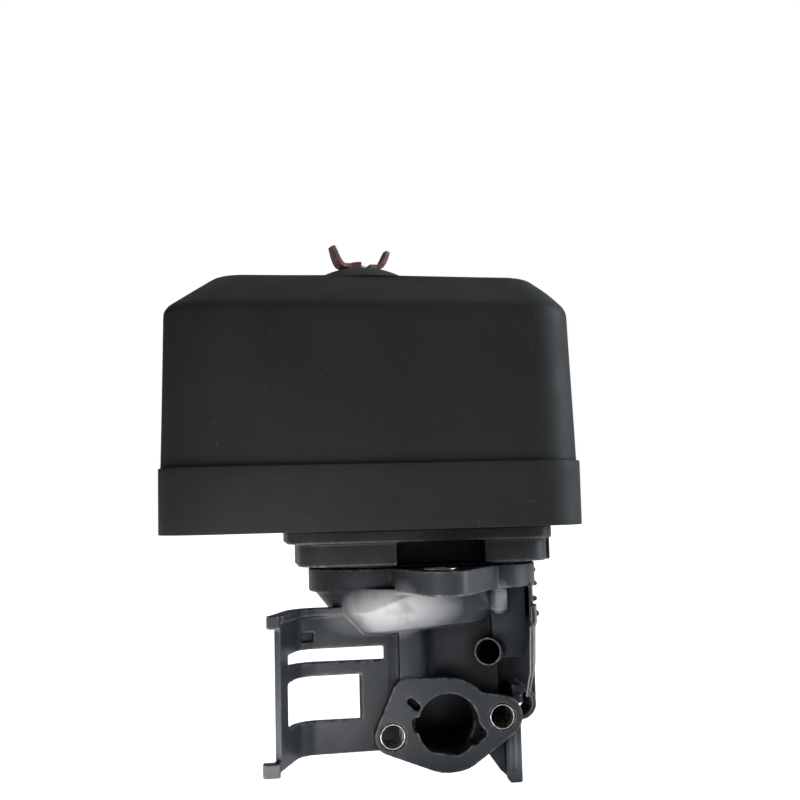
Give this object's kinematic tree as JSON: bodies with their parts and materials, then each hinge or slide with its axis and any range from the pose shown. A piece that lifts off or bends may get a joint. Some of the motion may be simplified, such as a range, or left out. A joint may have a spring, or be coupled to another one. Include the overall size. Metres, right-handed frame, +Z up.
{
  "type": "air filter housing",
  "caption": "Air filter housing of a small petrol engine: deep lift-off cover with wing nuts, pleated element with foam, tray, and an intake elbow with a carburettor flange and shroud wings.",
  "frame": {"origin": "the middle of the bottom of the bounding box, level with the lowest foot of the elbow; the centre stud stands 0.85 mm from it towards +X", "axes": "+Z up along the centre stud; +X along the long side of the cover, to the right when facing the carburettor flange; -Y out of the carburettor flange"},
  "size_m": [0.15, 0.114, 0.2084],
  "materials": {
    "cover_plastic": "grained, low sheen",
    "rubber": "matt",
    "zinc_steel": "zinc plated",
    "coppered_steel": "dull coppery brown plating",
    "filter_foam": "open cell foam",
    "filter_paper": "resin treated",
    "potting_compound": "cast, satin",
    "tray_plastic": "moulded, satin",
    "elbow_plastic": "moulded, semi gloss"
  },
  "bodies": {
    "base": {"elbow": "elbow_plastic", "tray": "tray_plastic", "tray_gasket": "rubber", "tray_screw_1": "zinc_steel", "tray_screw_2": "zinc_steel", "tray_screw_3": "zinc_steel", "tray_screw_4": "zinc_steel", "flange_bush_left": "zinc_steel", "flange_bush_right": "zinc_steel", "stay_bush": "zinc_steel", "centre_stud": "zinc_steel", "stud_nut": "zinc_steel", "stud_washer": "zinc_steel", "element_seal": "rubber", "element_base_cap": "potting_compound", "element_paper": "filter_paper", "element_screen": "zinc_steel", "element_top_cap": "potting_compound", "foam_sleeve": "filter_foam"},
    "element_washer": {"element_washer": "zinc_steel"},
    "element_wing_nut": {"element_wing_nut": "coppered_steel"},
    "cover": {"cover": "cover_plastic", "cover_grommet": "rubber"},
    "cover_washer": {"cover_washer": "zinc_steel"},
    "cover_wing_nut": {"cover_wing_nut": "coppered_steel"}
  },
  "joints": [
    {"name": "cover_lift", "type": "slide", "parent": "base", "child": "cover", "axis": [0, 0, 1], "range_m": [0, 0.112]},
    {"name": "cover_washer_rise", "type": "slide", "parent": "cover", "child": "cover_washer", "axis": [0, 0, 1], "range_m": [0, 0.0072]},
    {"name": "cover_nut_turn", "type": "hinge", "parent": "cover_washer", "child": "cover_wing_nut", "pos_m": [0.00085, 0, 0.2], "axis": [0, 0, 1], "range_deg": [0, 2520]},
    {"name": "element_washer_rise", "type": "slide", "parent": "base", "child": "element_washer", "axis": [0, 0, 1], "range_m": [0, 0.0062]},
    {"name": "element_nut_turn", "type": "hinge", "parent": "element_washer", "child": "element_wing_nut", "pos_m": [0.00085, 0, 0.165], "axis": [0, 0, 1], "range_deg": [0, 2160]}
  ],
  "couplings": [
    {"joint": "cover_washer_rise", "follows": "cover_nut_turn", "m_per_rad": 0.00015915},
    {"joint": "element_washer_rise", "follows": "element_nut_turn", "m_per_rad": 0.00015915}
  ]
}
